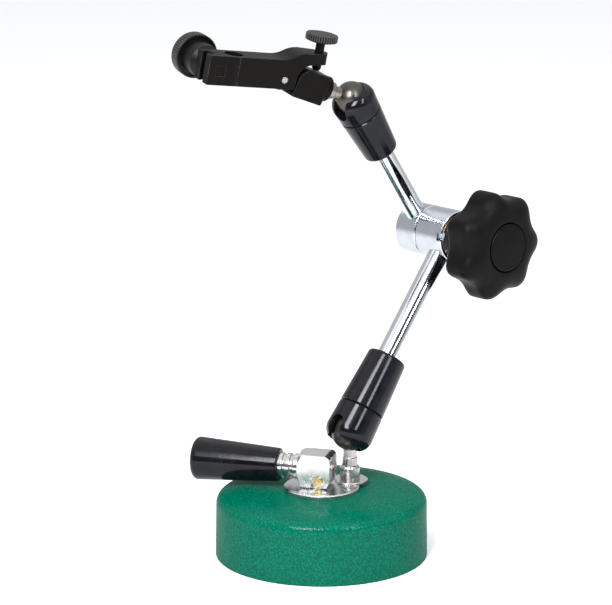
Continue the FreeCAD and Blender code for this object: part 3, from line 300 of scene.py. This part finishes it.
def knurled_steel(name, colour, node, axis_of, ridges):
    """Blackened steel with straight knurling round the rim of a turned head."""
    point, axis = axis_of
    side, up = across(axis)
    offsets = [vert.co - point for vert in NODES[node].data.vertices]
    rim = max((offset - axis * offset.dot(axis)).length for offset in offsets)
    surface = Surface(name, colour, roughness=0.36)
    surface.set("Specular IOR Level", 0.16)
    along, out = surface.about(point, axis)
    offset = surface.vector("SUBTRACT", surface.place, tuple(point))
    turn = surface.math(
        "ARCTAN2",
        surface.vector("DOT_PRODUCT", offset, tuple(up), "Value"),
        surface.vector("DOT_PRODUCT", offset, tuple(side), "Value"),
    )
    wave = surface.math("SINE", surface.math("MULTIPLY", turn, float(ridges)))
    on_rim = surface.span(out, rim - 0.55 * MM, rim - 0.2 * MM, 0.0, 1.0, smooth=True)
    ridge = surface.math("MULTIPLY", surface.span(wave, -0.6, 0.7, 0.0, 1.0, smooth=True), on_rim)
    grain = surface.noise(0.35 * MM, 3.0)
    crest = tuple(part * 9 + 0.012 for part in colour)
    surface.colour(surface.blend(ridge, colour, crest))
    surface.rough(surface.span(grain, 0.3, 0.7, 0.3, 0.45))
    surface.bump(ridge, 0.35 * MM, 1.0)
    surface.bump(grain, 0.008 * MM, 0.4)
    return surface.done()


def moulded_plastic(name, colour, roughness, grain_size, grain_depth):
    """Moulded plastic with a fine spark-eroded grain and a faintly mottled tone and gloss."""
    surface = Surface(name, colour, roughness=roughness)
    surface.set("Specular IOR Level", 0.06)
    grain = surface.noise(grain_size, 3.0)
    cloud = surface.noise(11 * MM, 3.0)
    pale = tuple(part * 1.5 + 0.0004 for part in colour)
    surface.colour(surface.blend(surface.span(cloud, 0.3, 0.7, 0.0, 1.0), colour, pale))
    surface.rough(surface.span(cloud, 0.3, 0.7, roughness * 0.9, roughness * 1.15))
    surface.bump(grain, grain_depth, 0.5)
    return surface.done()


def plain_metal(name, colour, roughness, size=1.5 * MM):
    """Brass, bronze or a sintered piece, with a mottled tone."""
    surface = Surface(name, colour, metallic=1.0, roughness=roughness)
    surface.soften(0.12 * MM)
    spots = surface.noise(size, 4.0, 0.6)
    tone = tuple(0.7 * part for part in colour)
    surface.colour(surface.blend(surface.span(spots, 0.35, 0.7, 0.0, 1.0), colour, tone))
    surface.rough(surface.span(spots, 0.3, 0.7, roughness * 0.8, roughness * 1.3))
    surface.bump(spots, 0.006 * MM, 0.4)
    return surface.done()


def paint(material, *names):
    """Gives CAD nodes a material."""
    for name in names:
        NODES[name].material_slots[0].material = material


BASE_AXIS = (Vector((0, 0, 0)), Vector((0, 0, 1)))
LEVER_POINT, LEVER_PIN = joint_line("lever_swing")
LEVER_AXIS = Vector((0, 0, 1)).cross(LEVER_PIN).normalized()
LOWER_STUD = (joint_line("lower_ball_swivel")[0], Vector((0, 0, 1)))
LOWER_ARM = joint_line("lower_arm_spin")
UPPER_ARM = joint_line("upper_ball_spin")
KNUCKLE = joint_line("knuckle_fold")
STAR = joint_line("central_knob_turn")
HOLDER = joint_line("holder_roll")
PIVOT = joint_line("fine_pivot")
THUMB = joint_line("adjust_screw_turn")
JAW = joint_line("jaw_knob_turn")

STEEL = (0.58, 0.58, 0.58)

green = hammered_enamel("hammered_green", (0.0, 0.074, 0.044), (0.0, 0.138, 0.086))
black_enamel = gloss_enamel("black_enamel", (0.003, 0.003, 0.005))
grip_black = gloss_enamel("grip_black", (0.003, 0.003, 0.004), 1.6 * MM, 0.1)
knob_black = moulded_plastic("knob_black", (0.0032, 0.003, 0.003), 0.4, 0.3 * MM, 0.012 * MM)
cap_black = moulded_plastic("cap_black", (0.0022, 0.0022, 0.0022), 0.36, 0.25 * MM, 0.008 * MM)
BLACK = (0.0032, 0.0029, 0.0027)
black_steel = blackened_steel("black_steel", BLACK, (0.12, 0.12, 0.125))
brass = plain_metal("brass", (0.79, 0.56, 0.24), 0.26)
bronze = plain_metal("bronze", (0.55, 0.38, 0.20), 0.4, 0.5 * MM)
ferrite = plain_metal("ferrite", (0.10, 0.10, 0.11), 0.6, 0.4 * MM)
inner_steel = ground_steel("inner_steel", (0.52, 0.52, 0.53), (1, 0, 0))

paint(green, "base_housing")
paint(inner_steel, "inner_pole_plate", "magnet_yoke", "magnet_nut", "lift_rod", "lower_push_rod",
      "upper_push_rod", "adjust_spring")
paint(brass, "brass_spacer_ring", "lever_pin", "knob_insert")
paint(bronze, "guide_bush", "lower_ball_pad", "upper_ball_pad", "thrust_washer")
paint(ferrite, "ring_magnet")
paint(turned_steel("disc_steel", STEEL, BASE_AXIS), "cover_disc")
paint(turned_steel("washer_steel", STEEL, LOWER_STUD), "stud_washer")
paint(polished("stud_steel", (0.42, 0.40, 0.39), LOWER_STUD, 0.2), "lower_ball_stud")
# Painted shade: the lower ball's steel is painted near black, standing for the shadow inside its
# socket cap.
paint(polished("ball_painted_shade_steel", (0.06, 0.055, 0.052), LOWER_STUD, 0.3), "lower_ball")
paint(polished("block_steel", (0.66, 0.66, 0.65), (LEVER_POINT, LEVER_PIN), 0.2), "lever_block")
paint(polished("shank_steel", (0.55, 0.54, 0.53), (LEVER_POINT, LEVER_AXIS), 0.14), "lever_shank")
paint(grip_black, "lever_grip")
paint(black_enamel, "lower_socket_cap", "lower_sleeve", "upper_sleeve", "upper_socket_cap")
paint(polished("lower_chrome", (0.66, 0.69, 0.73), LOWER_ARM, 0.07), "lower_tube")
paint(polished("upper_chrome", (0.66, 0.69, 0.73), UPPER_ARM, 0.07), "upper_tube")
paint(polished("hub_chrome", (0.5, 0.52, 0.56), KNUCKLE, 0.16), "lower_hub", "upper_hub")
paint(polished("holder_steel", (0.26, 0.235, 0.21), HOLDER, 0.22), "upper_ball_stud")
# Painted shade: the upper ball's steel is painted near black, standing for the shadow inside its
# socket cap.
paint(polished("upper_ball_painted_shade_steel", (0.085, 0.078, 0.07), HOLDER, 0.28), "upper_ball")
paint(polished("pin_steel", (0.34, 0.33, 0.32), PIVOT, 0.24), "pivot_pin")
paint(black_steel, "clamp_wedge", "clamp_bolt", "rear_block", "clamp_body", "adjust_spindle",
      "jaw_screw")
paint(knurled_steel("thumb_knurl", BLACK, "adjust_thumb_head", THUMB, 40), "adjust_thumb_head")
paint(knurled_steel("jaw_knurl", BLACK, "jaw_knob", JAW, 56), "jaw_knob")
paint(knob_black, "star_knob")
paint(cap_black, "knob_cap")


# ---------------------------------------------------------------- star knob

LOBES = 7
SEGMENTS = 224
LOBE_SHARPNESS = 1.25
LOBE_BACK = 28.3 * MM
LOBE_EDGE = 37.6 * MM
FRONT = 45.0 * MM
BACK_ROUND = 3.0 * MM
BOSS_FOOT = 15.6 * MM
FRONT_RING = 11.3 * MM
FRONT_BEND = 0.92
BACK_STEPS = 8
FRONT_STEPS = 22
NEARBY = 0.03
# Radius and distance from the seam of the hubs, in millimetres.
BOSS_PROFILE = (
    (5.0, 17.55), (10.6, 17.55), (11.1, 17.8), (11.6, 18.4), (12.3, 21.0),
    (13.0, 24.0), (13.6, 26.4), (14.4, 27.6), (15.6, 28.2),
)
CAP_GROOVE = ((11.0, 44.95), (10.75, 44.7), (10.6, 44.2), (10.55, 43.3), (5.0, 43.25))


def turn_between(first, second):
    """The angle between two directions, without its sign."""
    return abs((first - second + math.pi) % (2 * math.pi) - math.pi)


def knob_outline(points):
    """Reach of the lobed outline by angle: waves between the solid's own tips and hollows."""
    tallest = max(out for turn, out in points)
    reaches = []
    for index in range(120):
        middle = math.radians(3 * index)
        nearby = [out for turn, out in points if turn_between(turn, middle) < NEARBY]
        if nearby:
            reaches.append(max(nearby))
    lowest = min(reaches)
    tips = [LOBES * turn for turn, out in points if out > tallest - 0.4 * MM]
    phase = math.atan2(sum(math.sin(tip) for tip in tips), sum(math.cos(tip) for tip in tips))

    def reach(turn):
        wave = 0.5 + 0.5 * math.cos(LOBES * turn - phase)
        return lowest + (tallest - lowest) * wave**LOBE_SHARPNESS

    return reach


def knob_rings():
    """Rings from the boss to the cap: share of the outline, plain radius, inset and height."""
    rings = [(0.0, out * MM, 0.0, height * MM) for out, height in BOSS_PROFILE]
    rings += [(share, BOSS_FOOT, BACK_ROUND, LOBE_BACK) for share in (0.3, 0.6, 0.8)]
    for step in range(BACK_STEPS + 1):
        bend = math.radians(90 * step / BACK_STEPS)
        inset = BACK_ROUND * (1 - math.sin(bend))
        rings.append((1.0, 0.0, inset, LOBE_BACK + BACK_ROUND * (1 - math.cos(bend))))
    rings += [(1.0, 0.0, 0.0, height * MM) for height in (33.0, 35.0)]
    for step in range(FRONT_STEPS + 1):
        bend = math.radians(90 * step / FRONT_STEPS)
        climb = math.sin(bend) ** FRONT_BEND
        share = max(0.0, math.cos(bend)) ** FRONT_BEND
        rings.append((share, FRONT_RING, 0.0, LOBE_EDGE + (FRONT - LOBE_EDGE) * climb))
    return rings + [(0.0, out * MM, 0.0, height * MM) for out, height in CAP_GROOVE]


def build_star_knob():
    """The seven-lobed knob as one soft moulding: a domed front that runs out into the lobes."""
    point, axis = STAR
    side, up = across(axis)
    polar = []
    for vert in NODES["star_knob"].data.vertices:
        offset = vert.co - point
        right, rise = offset.dot(side), offset.dot(up)
        polar.append((math.atan2(rise, right), math.hypot(rise, right), offset.dot(axis)))
    heights = [height for turn, out, height in polar]
    lobes = [height for turn, out, height in polar if out > 20 * MM]
    # The lobes sit nearer to the front than to the boss, so they tell which way the axis points.
    forward = 1.0 if sum(lobes) / len(lobes) > (min(heights) + max(heights)) / 2 else -1.0
    seam = min(forward * height for height in heights) - BOSS_PROFILE[0][1] * MM
    reach = knob_outline([(turn, out) for turn, out, height in polar if out > 15 * MM])

    shell = bmesh.new()
    rows = []
    for share, circle, inset, height in knob_rings():
        centre = point + axis * forward * (seam + height)
        row = []
        for index in range(SEGMENTS):
            turn = 2 * math.pi * index / SEGMENTS
            out = share * (reach(turn) - inset) + (1 - share) * circle
            spoke = side * math.cos(turn) + up * math.sin(turn)
            row.append(shell.verts.new(centre + spoke * out))
        rows.append(row)
    for low, high in zip(rows, rows[1:] + rows[:1]):
        for index in range(SEGMENTS):
            after = (index + 1) % SEGMENTS
            shell.faces.new((low[index], low[after], high[after], high[index]))
    bmesh.ops.recalc_face_normals(shell, faces=shell.faces)
    for face in shell.faces:
        face.smooth = True
    mesh = bpy.data.meshes.new("star_knob_soft")
    shell.to_mesh(mesh)
    shell.free()
    knob = bpy.data.objects.new("star_knob_soft", mesh)
    bpy.context.scene.collection.objects.link(knob)
    mesh.materials.append(knob_black)
    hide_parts("star_knob")
    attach(knob, "central_knob")


build_star_knob()


# ---------------------------------------------------------------- studio


def studio_world():
    """A pale light tent, with the dark place where the photographer stands."""
    world = bpy.data.worlds.new("studio")
    bpy.context.scene.world = world
    world.use_nodes = True
    tree = world.node_tree
    tree.nodes.clear()
    out = tree.nodes.new("ShaderNodeOutputWorld")
    tent = tree.nodes.new("ShaderNodeBackground")
    plain = tree.nodes.new("ShaderNodeBackground")
    chosen = tree.nodes.new("ShaderNodeMixShader")
    path = tree.nodes.new("ShaderNodeLightPath")
    place = tree.nodes.new("ShaderNodeTexCoord")
    facing = tree.nodes.new("ShaderNodeVectorMath")
    facing.operation = "DOT_PRODUCT"
    facing.inputs[1].default_value = tuple((CAMERA_AT - LOOK_AT).normalized())
    dark = tree.nodes.new("ShaderNodeMapRange")
    dark.interpolation_type = "SMOOTHSTEP"
    outer, inner = (math.cos(math.radians(angle)) for angle in SHADE_ANGLES)
    for index, value in enumerate((outer, inner, TENT, TENT * SHADE_SHARE)):
        dark.inputs[index + 1].default_value = value
    tree.links.new(place.outputs["Generated"], facing.inputs[0])
    tree.links.new(facing.outputs["Value"], dark.inputs[0])
    tree.links.new(dark.outputs[0], tent.inputs["Strength"])
    tent.inputs["Color"].default_value = (0.95, 0.97, 1.0, 1.0)
    plain.inputs["Color"].default_value = (1.0, 1.0, 1.0, 1.0)
    tree.links.new(path.outputs["Is Camera Ray"], chosen.inputs[0])
    tree.links.new(tent.outputs[0], chosen.inputs[1])
    tree.links.new(plain.outputs[0], chosen.inputs[2])
    tree.links.new(chosen.outputs[0], out.inputs[0])


def softbox(name, turn, rise, distance, width, height, power, tint=(1.0, 1.0, 1.0)):
    """A rectangular light, turned from the camera's side and raised, in degrees."""
    toward = CAMERA_AT - LOOK_AT
    heading = math.atan2(toward.y, toward.x) + math.radians(turn)
    climb = math.radians(rise)
    level = math.cos(climb)
    spot = Vector((math.cos(heading) * level, math.sin(heading) * level, math.sin(climb)))
    light = bpy.data.lights.new(name, "AREA")
    light.shape = "RECTANGLE"
    light.size = width
    light.size_y = height
    light.energy = power
    light.color = tint
    lamp = bpy.data.objects.new(name, light)
    lamp.location = LOOK_AT + spot * distance
    lamp.rotation_euler = (-spot).to_track_quat("-Z", "Y").to_euler()
    bpy.context.scene.collection.objects.link(lamp)


def overhead(strength, spread, tint):
    """A broad soft light from above, even over the whole floor."""
    light = bpy.data.lights.new("overhead", "SUN")
    light.energy = strength
    light.angle = math.radians(spread)
    light.color = tint
    lamp = bpy.data.objects.new("overhead", light)
    lamp.location = (0, 0, 2)
    bpy.context.scene.collection.objects.link(lamp)


def studio_floor():
    """A pale seamless floor."""
    mesh = bpy.data.meshes.new("floor")
    half = 6.0
    corners = [(-half, -half, 0), (half, -half, 0), (half, half, 0), (-half, half, 0)]
    mesh.from_pydata(corners, [], [(0, 1, 2, 3)])
    floor = bpy.data.objects.new("floor", mesh)
    floor.location.z = -0.02 * MM
    bpy.context.scene.collection.objects.link(floor)
    surface = Surface("floor_paper", (0.9, 0.9, 0.9), roughness=0.9)
    surface.set("Specular IOR Level", 0.0)
    fibres = surface.noise(3 * MM, 2.0)
    surface.colour(surface.blend(fibres, (0.90, 0.90, 0.90), (0.91, 0.91, 0.91)))
    mesh.materials.append(surface.done())


CAMERA_AT = Vector((-0.8271, -0.8930, 0.4075))
CAMERA_LOOK = Vector((0.6562, 0.7162, -0.2377)).normalized()
CAMERA_LENS = 176.5
LOOK_AT = Vector((0.02, 0.0, 0.1))
TENT = 0.74
# The tent darkens from the first angle off the camera's direction to the second, in degrees.
SHADE_ANGLES = (64, 38)
SHADE_SHARE = 0.1

camera_data = bpy.data.cameras.new("camera")
camera_data.lens = CAMERA_LENS
camera_data.sensor_width = 36.0
camera_data.clip_end = 30.0
camera = bpy.data.objects.new("camera", camera_data)
aim = CAMERA_LOOK.to_track_quat("-Z", "Y").to_matrix().to_4x4()
camera.matrix_world = Matrix.Translation(CAMERA_AT) @ aim
bpy.context.scene.collection.objects.link(camera)
bpy.context.scene.camera = camera
bpy.context.scene.view_settings.view_transform = "Standard"

studio_world()
studio_floor()
DAYLIGHT = (0.96, 0.98, 1.0)
softbox("box_left", -19, 38, 1.0, 0.30, 0.55, 16.0, DAYLIGHT)
softbox("box_right", 34, 38, 1.0, 0.14, 0.55, 5.0, DAYLIGHT)
overhead(1.25, 100, (1.0, 0.985, 0.96))
